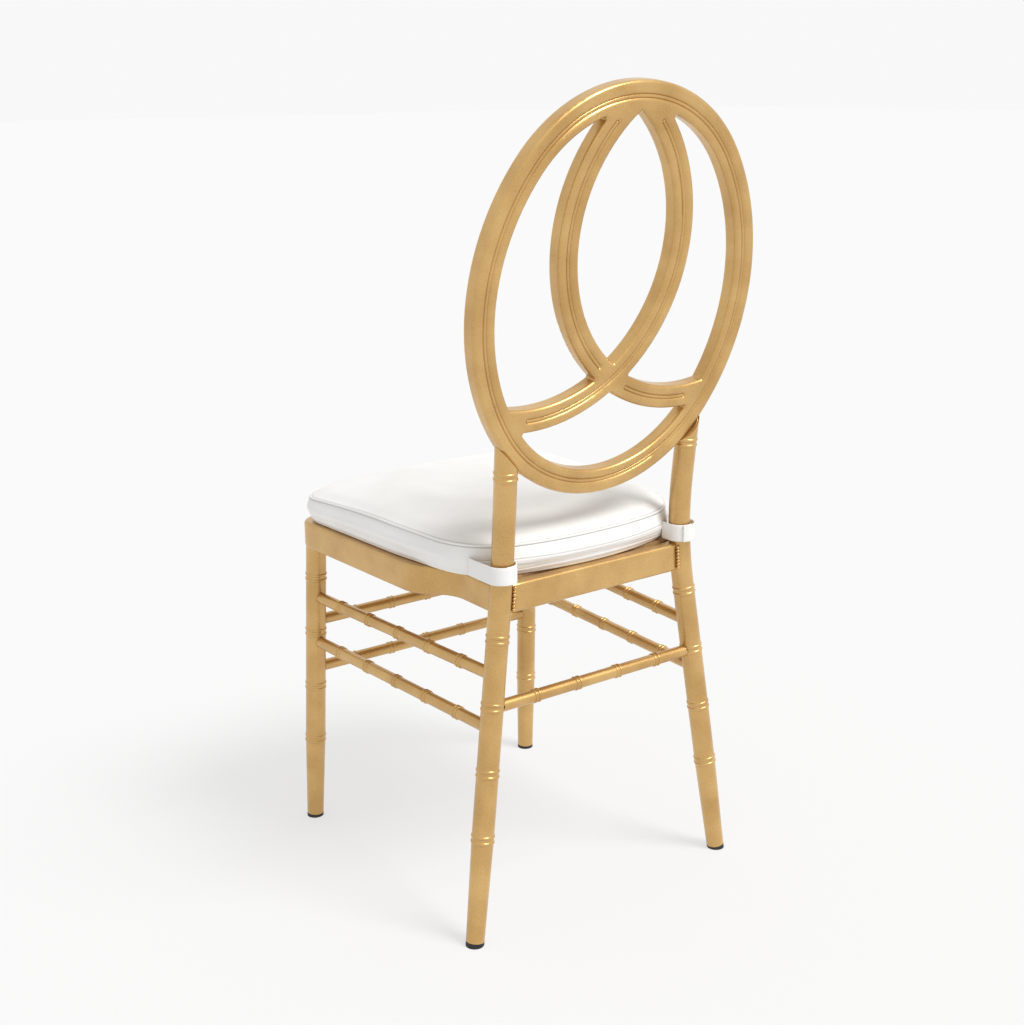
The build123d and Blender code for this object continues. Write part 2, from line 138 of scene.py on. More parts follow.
class Shader(Nodes):
    """The node tree of a material."""

    def __init__(self, name: str) -> None:
        """Start an empty material that reads object coordinates."""
        self.material = bpy.data.materials.new(name)
        self.material.use_nodes = True
        super().__init__(self.material.node_tree)
        self.place = self.add("ShaderNodeTexCoord", {}).outputs["Object"]

    def pattern(self, size_mm: float, **more: Any) -> dict[str, Any]:
        """Sockets of a pattern with a feature size in millimetres."""
        return {"Vector": self.place, "Scale": per_metre(size_mm), **more}

    def finish(self, sockets: dict[str, Any]) -> bpy.types.Material:
        """Close the tree with a principled surface that has these sockets."""
        surface = self.add("ShaderNodeBsdfPrincipled", sockets)
        self.add("ShaderNodeOutputMaterial", {"Surface": surface.outputs[0]})
        return self.material


@dataclass(frozen=True)
class Finish(ABC):
    """A surface finish: its name, its grain, its two main tones and its range of roughness."""

    name: str
    grain: Grain
    light: str
    dark: str
    rough: tuple[float, float]

    def start(self) -> Shader:
        """Begin the material and report it."""
        LOG.info("finish %s: %s", self.name, self.grain.value)
        return Shader(self.name)

    @property
    def tones(self) -> tuple[tuple[float, str], tuple[float, str]]:
        """Ramp from the dark tone to the light one over the range of a noise."""
        return ((FAINT, self.dark), (STRONG, self.light))

    def gloss(self, pattern: bpy.types.NodeSocket) -> dict[str, Any]:
        """Sockets that stretch a noise over the finish's range of roughness."""
        low, high = self.rough
        return {"Value": pattern, "From Min": FAINT, "From Max": STRONG, "To Min": low, "To Max": high}

    @abstractmethod
    def build(self) -> bpy.types.Material:
        """Make the material."""


@dataclass(frozen=True)
class GoldLacquer(Finish):
    """Gold pigment sprayed on metal under a satin lacquer: a warm tone with a soft broad gleam."""

    name: str = "gold_lacquer"
    grain: Grain = Grain.SPRAYED
    light: str = "D6AE6B"
    dark: str = "B98D4C"
    rough: tuple[float, float] = (0.27, 0.37)
    metallic: float = 0.7
    cloud_mm: float = 45.0
    # Real flakes are far finer: these are as coarse as they need to be to show.
    speck_mm: float = 0.8
    speck_deep_mm: float = 0.03
    speck_range: tuple[float, float] = (0.35, 0.72)
    speck_share: float = 0.3
    fleck: str = "EBCD95"
    peel_mm: float = 2.2
    peel_deep_mm: float = 0.05
    relief: float = 0.5
    coat: float = 0.35
    coat_rough: float = 0.16

    def build(self) -> bpy.types.Material:
        """Fine specks of pigment over slow clouds, with the lacquer's faint orange peel."""
        s = self.start()
        specks = s.add("ShaderNodeTexNoise", s.pattern(self.speck_mm, Detail=3.0)).outputs["Fac"]
        clouds = s.add("ShaderNodeTexNoise", s.pattern(self.cloud_mm, Detail=2.0)).outputs["Fac"]
        peel = s.add("ShaderNodeTexNoise", s.pattern(self.peel_mm, Detail=1.0)).outputs["Fac"]
        base = s.add("ShaderNodeValToRGB", {"Fac": clouds}, self.tones).outputs["Color"]
        stops = tuple(zip(self.speck_range, (self.dark, self.fleck)))
        fleck = s.add("ShaderNodeValToRGB", {"Fac": specks}, stops).outputs["Color"]
        mixed = s.add("ShaderNodeMix", {0: self.speck_share, 6: base, 7: fleck}, data_type="RGBA")
        relief = {"Height": specks, "Distance": self.speck_deep_mm * MM, "Strength": self.relief}
        grit = s.add("ShaderNodeBump", relief).outputs["Normal"]
        relief = {"Height": peel, "Distance": self.peel_deep_mm * MM, "Strength": self.relief}
        skin = s.add("ShaderNodeBump", {**relief, "Normal": grit}).outputs["Normal"]
        return s.finish(
            {
                "Base Color": mixed.outputs[2],
                "Metallic": self.metallic,
                "Roughness": s.add("ShaderNodeMapRange", self.gloss(specks)).outputs["Result"],
                "Coat Weight": self.coat,
                "Coat Roughness": self.coat_rough,
                "Normal": skin,
            }
        )


@dataclass(frozen=True)
class WhiteVinyl(Finish):
    """Coated upholstery vinyl: clean white, a fine pebble grain and a low sheen."""

    name: str = "white_vinyl"
    grain: Grain = Grain.PEBBLED
    light: str = "F7F6F4"
    dark: str = "F1F0ED"
    rough: tuple[float, float] = (0.42, 0.52)
    # Painted shade: the grey laid into the creases beside the seams.
    crease: str = "CBC8C3"
    pebble_mm: float = 1.1
    pebble_deep_mm: float = 0.05
    pebble_relief: float = 0.3
    slack_mm: float = 40.0
    slack_deep_mm: float = 0.3
    slack_relief: float = 0.2
    cloud_mm: float = 60.0

    def build(self) -> bpy.types.Material:
        """Pebble cells of a millimetre over slow slackness, with painted shade that makes it greyer in the
        creases of the seams.
        """
        s = self.start()
        cells = s.add("ShaderNodeTexVoronoi", s.pattern(self.pebble_mm)).outputs["Distance"]
        slack = s.add("ShaderNodeTexNoise", s.pattern(self.slack_mm, Detail=1.0)).outputs["Fac"]
        clouds = s.add("ShaderNodeTexNoise", s.pattern(self.cloud_mm, Detail=2.0)).outputs["Fac"]
        skin = s.add("ShaderNodeValToRGB", {"Fac": clouds}, self.tones).outputs["Color"]
        # Painted shade: the crease depth mixes the crease grey into the skin tone.
        seam = s.add("ShaderNodeAttribute", {}, attribute_name=SEAM_SHADE).outputs["Fac"]
        sewn = s.add("ShaderNodeMix", {0: seam, 6: skin, 7: linear(self.crease)}, data_type="RGBA")
        relief = {"Height": slack, "Distance": self.slack_deep_mm * MM, "Strength": self.slack_relief}
        waves = s.add("ShaderNodeBump", relief).outputs["Normal"]
        relief = {"Height": cells, "Distance": self.pebble_deep_mm * MM, "Strength": self.pebble_relief}
        pebbles = s.add("ShaderNodeBump", {**relief, "Normal": waves}).outputs["Normal"]
        return s.finish(
            {
                "Base Color": sewn.outputs[2],
                "Roughness": s.add("ShaderNodeMapRange", self.gloss(clouds)).outputs["Result"],
                "Normal": pebbles,
            }
        )


@dataclass(frozen=True)
class WhiteTape(Finish):
    """Soft woven strap tape: white, matt, with faint lengthwise ribs."""

    name: str = "white_tape"
    grain: Grain = Grain.WOVEN
    light: str = "F7F6F4"
    dark: str = "E9E7E3"
    rough: tuple[float, float] = (0.58, 0.72)
    rib_mm: float = 6.2832
    rib_waver: float = 0.6
    rib_deep_mm: float = 0.12
    rib_relief: float = 0.25
    yarn_mm: float = 0.7
    yarn_deep_mm: float = 0.08
    yarn_relief: float = 0.3
    yarn_range: tuple[float, float] = (0.25, 0.7)
    sheen: float = 0.15

    def build(self) -> bpy.types.Material:
        """A few broad ribs along the tape, crossed by a yarn-sized speckle."""
        s = self.start()
        scale = per_metre(self.rib_mm) * math.tau / WAVE_RADIANS
        inputs = {"Vector": s.place, "Scale": scale, "Distortion": self.rib_waver}
        ribs = s.add("ShaderNodeTexWave", inputs, bands_direction="Z").outputs["Fac"]
        yarn = s.add("ShaderNodeTexNoise", s.pattern(self.yarn_mm, Detail=2.0)).outputs["Fac"]
        stops = tuple(zip(self.yarn_range, (self.dark, self.light)))
        relief = {"Height": yarn, "Distance": self.yarn_deep_mm * MM, "Strength": self.yarn_relief}
        weave = s.add("ShaderNodeBump", relief).outputs["Normal"]
        relief = {"Height": ribs, "Distance": self.rib_deep_mm * MM, "Strength": self.rib_relief}
        return s.finish(
            {
                "Base Color": s.add("ShaderNodeValToRGB", {"Fac": yarn}, stops).outputs["Color"],
                "Roughness": s.add("ShaderNodeMapRange", self.gloss(yarn)).outputs["Result"],
                "Sheen Weight": self.sheen,
                "Normal": s.add("ShaderNodeBump", {**relief, "Normal": weave}).outputs["Normal"],
            }
        )


@dataclass(frozen=True)
class BlackPlastic(Finish):
    """Moulded foot plug: near black with a dull skin."""

    name: str = "black_plastic"
    grain: Grain = Grain.MOULDED
    light: str = "26262A"
    dark: str = "121214"
    rough: tuple[float, float] = (0.45, 0.65)
    skin_mm: float = 0.6
    skin_deep_mm: float = 0.05
    skin_relief: float = 0.4
    scuff_mm: float = 5.0
    scuff_range: tuple[float, float] = (0.4, 0.75)

    def build(self) -> bpy.types.Material:
        """Scuffed skin of fine moulding texture."""
        s = self.start()
        skin = s.add("ShaderNodeTexNoise", s.pattern(self.skin_mm, Detail=2.0)).outputs["Fac"]
        scuffs = s.add("ShaderNodeTexNoise", s.pattern(self.scuff_mm, Detail=4.0)).outputs["Fac"]
        stops = tuple(zip(self.scuff_range, (self.dark, self.light)))
        relief = {"Height": skin, "Distance": self.skin_deep_mm * MM, "Strength": self.skin_relief}
        return s.finish(
            {
                "Base Color": s.add("ShaderNodeValToRGB", {"Fac": scuffs}, stops).outputs["Color"],
                "Roughness": s.add("ShaderNodeMapRange", self.gloss(skin)).outputs["Result"],
                "Normal": s.add("ShaderNodeBump", relief).outputs["Normal"],
            }
        )


@dataclass(frozen=True)
class Plywood(Finish):
    """Bare rotary cut plywood: pale brown with long wavy grain."""

    name: str = "plywood"
    grain: Grain = Grain.VENEER
    light: str = "C9A577"
    dark: str = "A67D4E"
    rough: tuple[float, float] = (0.6, 0.75)
    line_mm: float = 5.0
    line_stretch: tuple[float, float, float] = (1.0, 0.05, 1.0)
    pore: str = "7E5A34"
    pore_mm: float = 0.8
    pore_stretch: tuple[float, float, float] = (1.0, 0.08, 1.0)
    pore_range: tuple[float, float] = (0.35, 0.6)
    pore_share: float = 0.25
    pore_deep_mm: float = 0.08
    pore_relief: float = 0.4

    def build(self) -> bpy.types.Material:
        """Grain lines a few millimetres apart, drawn out along the depth of the seat."""
        s = self.start()
        drawn = s.add("ShaderNodeMapping", {"Vector": s.place, "Scale": self.line_stretch}).outputs[0]
        long = s.pattern(self.line_mm, Detail=4.0, Vector=drawn)
        lines = s.add("ShaderNodeTexNoise", long).outputs["Fac"]
        drawn = s.add("ShaderNodeMapping", {"Vector": s.place, "Scale": self.pore_stretch}).outputs[0]
        short = s.pattern(self.pore_mm, Detail=2.0, Vector=drawn)
        pores = s.add("ShaderNodeTexNoise", short).outputs["Fac"]
        tone = s.add("ShaderNodeValToRGB", {"Fac": lines}, self.tones).outputs["Color"]
        stops = tuple(zip(self.pore_range, (self.pore, self.light)))
        dots = s.add("ShaderNodeValToRGB", {"Fac": pores}, stops).outputs["Color"]
        mixed = s.add("ShaderNodeMix", {0: self.pore_share, 6: tone, 7: dots}, data_type="RGBA")
        relief = {"Height": pores, "Distance": self.pore_deep_mm * MM, "Strength": self.pore_relief}
        return s.finish(
            {
                "Base Color": mixed.outputs[2],
                "Roughness": s.add("ShaderNodeMapRange", self.gloss(lines)).outputs["Result"],
                "Normal": s.add("ShaderNodeBump", relief).outputs["Normal"],
            }
        )


@dataclass(frozen=True)
class ZincPlate(Finish):
    """Plated screw steel: a cool grey metal with a slight bloom."""

    name: str = "zinc_plate"
    grain: Grain = Grain.PLATED
    light: str = "C4C6C6"
    dark: str = "9FA3A5"
    rough: tuple[float, float] = (0.28, 0.42)
    bloom_mm: float = 1.2
    bloom_deep_mm: float = 0.02
    bloom_relief: float = 0.3

    def build(self) -> bpy.types.Material:
        """Blooms of a millimetre in tone and gloss."""
        s = self.start()
        bloom = s.add("ShaderNodeTexNoise", s.pattern(self.bloom_mm, Detail=3.0)).outputs["Fac"]
        relief = {"Height": bloom, "Distance": self.bloom_deep_mm * MM, "Strength": self.bloom_relief}
        return s.finish(
            {
                "Base Color": s.add("ShaderNodeValToRGB", {"Fac": bloom}, self.tones).outputs["Color"],
                "Metallic": 1.0,
                "Roughness": s.add("ShaderNodeMapRange", self.gloss(bloom)).outputs["Result"],
                "Normal": s.add("ShaderNodeBump", relief).outputs["Normal"],
            }
        )


@dataclass(frozen=True)
class StudioPaper(Finish):
    """Matt white background paper, evenly rough."""

    name: str = "studio_paper"
    grain: Grain = Grain.PAPER
    light: str = "FBFBFB"
    dark: str = "FAFAFA"
    rough: tuple[float, float] = (0.95, 0.95)
    tooth_mm: float = 3.0
    glow: float = 0.92
    share: float = 0.72

    def build(self) -> bpy.types.Material:
        """Almost even white with a faint tooth, lit through so that shadows stay faint."""
        s = self.start()
        tooth = s.add("ShaderNodeTexNoise", s.pattern(self.tooth_mm, Detail=1.0)).outputs["Fac"]
        colour = s.add("ShaderNodeValToRGB", {"Fac": tooth}, self.tones).outputs["Color"]
        shade = s.add("ShaderNodeMix", {0: 1.0 - self.share, 6: BLACK, 7: colour}, data_type="RGBA")
        return s.finish(
            {
                "Base Color": shade.outputs[2],
                "Roughness": self.rough[0],
                "Specular IOR Level": 0.0,
                "Emission Color": colour,
                "Emission Strength": self.glow * self.share,
            }
        )


def grid_mesh(name: str, grid: np.ndarray, material: bpy.types.Material) -> bpy.types.Object:
    """Closed skin over a grid of rings: quads between rings and one cap at each end.

    Args:
        name: piece name.
        grid: rings by points by three, each ring closed on itself, in metres.
        material: finish of the piece.

    Returns:
        The new object, smooth shaded, at the origin.
    """
    rings, count, _ = grid.shape
    index = np.arange(rings * count).reshape(rings, count)
    low, high = index[:-1], index[1:]
    quads = np.stack((low, np.roll(low, -1, 1), np.roll(high, -1, 1), high), axis=-1).reshape(-1, 4)
    faces = quads.tolist() + [index[0, ::-1].tolist(), index[-1].tolist()]
    mesh = bpy.data.meshes.new(name)
    mesh.from_pydata(grid.reshape(-1, 3).tolist(), [], faces)
    mesh.update()
    mesh.polygons.foreach_set("use_smooth", np.ones(len(mesh.polygons), bool))
    mesh.materials.append(material)
    piece = bpy.data.objects.new(name, mesh)
    bpy.context.scene.collection.objects.link(piece)
    return piece


def mirrored(grid: np.ndarray) -> np.ndarray:
    """The rings on the chair's other side, run backwards so that the skin still faces out."""
    return grid[:, ::-1] * np.array([-1.0, 1.0, 1.0])


def vertices_of(mesh: bpy.types.Mesh) -> np.ndarray:
    """All vertex places of a mesh as rows of three."""
    flat = np.empty(len(mesh.vertices) * 3, np.float32)
    mesh.vertices.foreach_get("co", flat)
    return flat.reshape(-1, 3).astype(float)


def cubic(values: np.ndarray, at: np.ndarray, wrap: bool) -> np.ndarray:
    """Catmull-Rom curve through samples: each point is a cubic blend of its four neighbours.

    Args:
        values: samples along the first axis.
        at: places along that axis, in samples.
        wrap: whether the last sample is followed by the first.

    Returns:
        The curve at those places.
    """
    first = np.floor(at).astype(int)
    t = (at - first).reshape((-1,) + (1,) * (values.ndim - 1))
    mode = "wrap" if wrap else "clip"
    a, b, c, d = (np.take(values, first + k, axis=0, mode=mode) for k in (-1, 0, 1, 2))
    square = (2 * a - 5 * b + 4 * c - d) * t**2
    cube = (3 * b - a - 3 * c + d) * t**3
    return 0.5 * (2 * b + (c - a) * t + square + cube)


def smoothstep(x: np.ndarray, low: float, high: float) -> np.ndarray:
    """Rise from nought to one between two values, level at both ends."""
    t = np.clip((x - low) / (high - low), 0.0, 1.0)
    return t * t * (3 - 2 * t)


def bell(away: np.ndarray, width: float) -> np.ndarray:
    """Bell curve: one at nought, falling as the exponential of minus the square."""
    return np.exp(-((away / width) ** 2))


@dataclass
class Outline:
    """Closed plan line of equal steps, taken from a CAD solid's upright faces."""

    points: np.ndarray
    normals: np.ndarray = field(init=False)
    middle: np.ndarray = field(init=False)

    def __post_init__(self) -> None:
        """Work out the outward normals: the chord between neighbours turned a quarter."""
        chord = np.roll(self.points, -1, 0) - np.roll(self.points, 1, 0)
        chord /= np.linalg.norm(chord, axis=1, keepdims=True)
        self.normals = np.stack((chord[:, 1], -chord[:, 0]), axis=1)
        self.middle = (self.points.min(0) + self.points.max(0)) / 2

    @classmethod
    def of_node(cls, node: str, level: float, count: int, grow: float) -> "Outline":
        """Read the ring of vertices at a height of a CAD node and space it evenly.

        The even points are softened by a running mean that weighs its five points 1, 2, 3, 2, 1.

        Args:
            node: name of the CAD node.
            level: height of the ring, in metres.
            count: number of points.
            grow: how far the line is moved outwards, in metres.

        Returns:
            The outline, running anticlockwise.
        """
        slack = 0.4 * MM
        weights = np.array([1.0, 2.0, 3.0, 2.0, 1.0]) / 9.0
        places = vertices_of(frame["nodes"][node].data)
        ring = places[np.abs(places[:, 2] - level) < slack][:, :2]
        middle = (ring.min(0) + ring.max(0)) / 2
        turn = np.arctan2(*(ring - middle).T[::-1])
        ring = ring[np.argsort(turn)]
        closed = np.vstack((ring, ring[:1]))
        run = np.concatenate(([0.0], np.cumsum(np.linalg.norm(np.diff(closed, axis=0), axis=1))))
        at = np.linspace(0.0, run[-1], count, endpoint=False)
        even = np.stack([np.interp(at, run, closed[:, k]) for k in (0, 1)], axis=1)
        soft = sum(weight * np.roll(even, k - 2, 0) for k, weight in enumerate(weights))
        return cls(soft + cls(soft).normals * grow)

    def ring(self, inset: np.ndarray, share: float) -> np.ndarray:
        """The line drawn in by an inset along its normals, then shrunk about its middle."""
        drawn = self.points - self.normals * np.reshape(inset, (-1, 1))
        return self.middle + (drawn - self.middle) * share


@dataclass(frozen=True)
class Welt:
    """Sewn seam, in millimetres: a bell-shaped ridge with a shallower ditch at each side."""

    height: float
    width: float
    ditch: float
    ditch_off: float = 2.3
    ditch_share: float = 0.7

    def beside(self, away: np.ndarray) -> np.ndarray:
        """Bell at each side of the ridge, one in the ditch and nought away from it."""
        return bell(np.abs(away) - self.ditch_off * self.width, self.ditch_share * self.width)

    def lift(self, away: np.ndarray) -> np.ndarray:
        """The ridge less its two ditches."""
        return self.height * bell(away, self.width) - self.ditch * self.beside(away)


@dataclass(frozen=True)
class Placket:
    """Zip strip along the rear, in millimetres above the underside: raised between two ditches."""

    starts: tuple[float, float] = (13.6, 14.2)
    ends: tuple[float, float] = (19.4, 20.2)
    ditches: tuple[float, float] = (13.6, 20.4)
    ditch_width: float = 0.6
    raised: float = 0.5
    sunk: float = 0.4
    faces_rear: tuple[float, float] = (0.55, 0.8)
    leans: tuple[float, float] = (0.4, 0.6)

    def rear(self, normal: np.ndarray) -> np.ndarray:
        """One where the cushion faces the rear and stands upright, and nought elsewhere."""
        first, last = self.leans
        upright = smoothstep(-np.abs(normal[..., 2]), -last, -first)
        return smoothstep(normal[..., 1], *self.faces_rear) * upright

    def crease(self, up: np.ndarray) -> np.ndarray:
        """Bells at the two ditches."""
        low, high = self.ditches
        return bell(up - low, self.ditch_width) + bell(up - high, self.ditch_width)

    def lift(self, up: np.ndarray) -> np.ndarray:
        """The raised strip less its ditches."""
        first, last = self.ends
        strip = smoothstep(up, *self.starts) * smoothstep(-up, -last, -first)
        return self.raised * strip - self.sunk * self.crease(up)


@dataclass
class Cushion:
    """Boxed seat cushion: crowned top, welted top seam, zip placket along the rear."""

    vinyl: bpy.types.Material
    crown: float = 457.5 * MM
    crown_power: float = 2.2
    dome: float = 2100.0 * MM
    puff: float = 5.0 * MM
    floor: float = 404.8 * MM
    edge: float = 6.0 * MM
    swell: float = 1.2 * MM
    plan_up: float = 3.2 * MM
    cover_out: float = 1.8 * MM
    plump: float = 6.0 * MM
    plump_y: tuple[float, float] = (-0.02, 0.09)
    top_welt: Welt = Welt(1.2, 1.0, 0.6)
    hem_welt: Welt = Welt(0.35, 0.7, 0.35)
    placket: Placket = Placket()
    start_in: float = 1.0 * MM
    cap: float = 4.0 * MM
    frames: int = 20
    calm: int = 60
    pressure: float = 4.0
    stretch_stiffness: float = 25.0
    bend_stiffness: float = 2.0
    columns: int = 180
    low: int = 9
    turns: int = 3
    side: int = 12
    top: int = 22
    hub: float = 0.03
    finer: int = 3
    finer_rows: tuple[int, ...] = (10, 30, 46, 36, 33)
    outline: Outline = field(init=False)

    def __post_init__(self) -> None:
        """Take the plan from the foam block, which lies just inside the cover."""
        low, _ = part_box("cushion_foam")
        plan = Outline.of_node("cushion_foam", low.z + self.plan_up, self.columns, self.cover_out)
        free = 1.0 - smoothstep(plan.points[:, 1], *self.plump_y)
        self.outline = Outline(plan.points + plan.normals * (self.plump * free)[:, None])

    @property
    def side_row(self) -> int:
        """Row at which the rounded lower edge ends and the boxing starts."""
        return self.low + self.turns - 1

    @property
    def seam_row(self) -> int:
        """Row of the top seam."""
        return self.side_row + self.side

    @property
    def hem_row(self) -> float:
        """Place of the lower seam, on the rounded edge."""
        return self.side_row - 0.5

    def seam_height(self) -> np.ndarray:
        """Height of the top seam: a wide dome, so that the corners lie lower than the sides."""
        reach = np.linalg.norm(self.outline.points - self.outline.middle, axis=1)
        return self.crown - self.puff - reach**2 / (2 * self.dome)

    def rows(self, inset: float) -> np.ndarray:
        """Rings from the middle of the underside, out, up the boxing and in over the top.

        The underside is level, its edge a quarter round, the boxing a half sine swell, and the
        top rises from the seam by the crown times one minus the ring's share to a power.

        Args:
            inset: how far the whole form is drawn in, in metres.

        Returns:
            Rings by points by three.
        """
        seam = self.seam_height() - inset
        floor = np.full_like(seam, self.floor + inset)
        rings: list[np.ndarray] = []
        for share in np.linspace(self.hub, 1.0, self.low):
            plan = self.outline.ring(np.full_like(seam, self.edge + inset), share)
            rings.append(np.column_stack((plan, floor)))
        for turn in np.linspace(0.0, math.pi / 2, self.turns + 1)[1:]:
            drawn = self.edge * (1 - math.sin(turn)) + inset
            plan = self.outline.ring(np.full_like(seam, drawn), 1.0)
            rings.append(np.column_stack((plan, floor + self.edge * (1 - math.cos(turn)))))
        for t in np.linspace(0.0, 1.0, self.side + 1)[1:]:
            bulge = self.swell * math.sin(math.pi * t)
            plan = self.outline.ring(np.full_like(seam, inset - bulge), 1.0)
            foot = floor + self.edge
            rings.append(np.column_stack((plan, foot + (seam - foot) * t)))
        for share in np.linspace(1.0, self.hub, self.top + 1)[1:]:
            plan = self.outline.ring(np.full_like(seam, inset), share)
            rise = self.crown - inset - seam
            rings.append(np.column_stack((plan, seam + rise * (1 - share**self.crown_power))))
        return np.stack(rings)

    def stuffed(self) -> np.ndarray:
        """Swell the form as cloth under inside pressure, each point moved by no more than a cap.

        Returns:
            The swollen rings.
        """
        rest = self.rows(self.start_in)
        pad = grid_mesh("cushion_cloth", rest, self.vinyl)
        cloth = pad.modifiers.new("stuffing", "CLOTH").settings
        cloth.use_pressure = True
        cloth.uniform_pressure_force = self.pressure
        cloth.effector_weights.gravity = 0.0
        cloth.tension_stiffness = self.stretch_stiffness
        cloth.compression_stiffness = self.stretch_stiffness
        cloth.bending_stiffness = self.bend_stiffness
        scene = bpy.context.scene
        for step in range(1, self.frames + 1):
            scene.frame_set(step)
        solid = pad.evaluated_get(bpy.context.evaluated_depsgraph_get()).to_mesh()
        moved = self.even(vertices_of(solid).reshape(rest.shape) - rest)
        scene.frame_set(1)
        bpy.data.objects.remove(pad)
        reach = np.linalg.norm(moved, axis=2, keepdims=True)
        swollen = rest + moved * np.minimum(1.0, self.cap / np.maximum(reach, 1e-9))
        return self.seated(swollen)

    def even(self, moved: np.ndarray) -> np.ndarray:
        """Smooth the movement round the cushion: a running mean of neighbours, taken over and over."""
        for _ in range(self.calm):
            moved = (np.roll(moved, -1, 1) + 2.0 * moved + np.roll(moved, 1, 1)) / 4.0
        return moved

    def seated(self, rings: np.ndarray) -> np.ndarray:
        """Press the form flat on its seat and hold its sides to the plan of the cover."""
        rings[..., 2] = np.clip(rings[..., 2], self.floor, self.crown)
        rings[: self.low, :, 2] = self.floor
        out = ((rings[..., :2] - self.outline.points) * self.outline.normals).sum(-1)
        over = np.maximum(out - self.swell, 0.0)[..., None]
        rings[..., :2] -= over * self.outline.normals
        return rings

    def fine_rows(self) -> np.ndarray:
        """Row places, close together at the seams and wider on the plain panels."""
        side, seam = self.side_row, self.seam_row
        stops = (0, side - 3, side + 2, seam - 2, seam + 1, seam + self.top)
        panels = zip(stops, stops[1:], self.finer_rows)
        rows = [np.linspace(first, last, count, endpoint=False) for first, last, count in panels]
        return np.concatenate((*rows, stops[-1:]))

    def sewn(self, rings: np.ndarray) -> tuple[np.ndarray, np.ndarray]:
        """Refine the rings and raise the seams on them along the surface normals.

        Args:
            rings: the swollen form.

        Returns:
            Fine rings with seams, and how deep in a seam's crease each point lies, up to one, which the
            vinyl turns into painted shade.
        """
        places = self.fine_rows()
        fine = cubic(rings, places, False)
        around = np.arange(self.columns * self.finer) / self.finer
        fine = cubic(fine.transpose(1, 0, 2), around, True).transpose(1, 0, 2)
        normal = np.cross(np.roll(fine, -1, 1) - np.roll(fine, 1, 1), np.gradient(fine, axis=0))
        normal /= np.maximum(np.linalg.norm(normal, axis=2, keepdims=True), 1e-12)
        step = np.linalg.norm(np.diff(fine, axis=0), axis=2)
        run = np.vstack((np.zeros((1, fine.shape[1])), np.cumsum(step, axis=0)))
        top = (run - run[np.argmin(np.abs(places - self.seam_row))]) / MM
        hem = (run - run[np.argmin(np.abs(places - self.hem_row))]) / MM
        rear = self.placket.rear(normal)
        up = (fine[..., 2] - self.floor) / MM
        lift = self.top_welt.lift(top) + self.hem_welt.lift(hem) + rear * self.placket.lift(up)
        crease = self.top_welt.beside(top) + rear * self.placket.crease(up)
        return fine + normal * (lift * MM)[..., None], np.clip(crease, 0.0, 1.0)

    def build(self) -> bpy.types.Object:
        """Make the cushion, in place of the CAD cover and foam."""
        skin, crease = self.sewn(self.stuffed())
        piece = grid_mesh("seat_cushion", skin, self.vinyl)
        # The crease depth is stored for the vinyl's painted shade in the seams.
        shade_mark = piece.data.attributes.new(SEAM_SHADE, "FLOAT", "POINT")
        shade_mark.data.foreach_set("value", crease.astype(np.float32).ravel())
        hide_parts("cushion_cover", "cushion_foam")
        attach(piece, "cushion")
        return piece


class Side(Enum):
    """The two sides of the chair, by the sitter's hands."""

    LEFT = 1
    RIGHT = -1

    @property
    def word(self) -> str:
        """Ending of a node name on this side."""
        return self.name.lower()


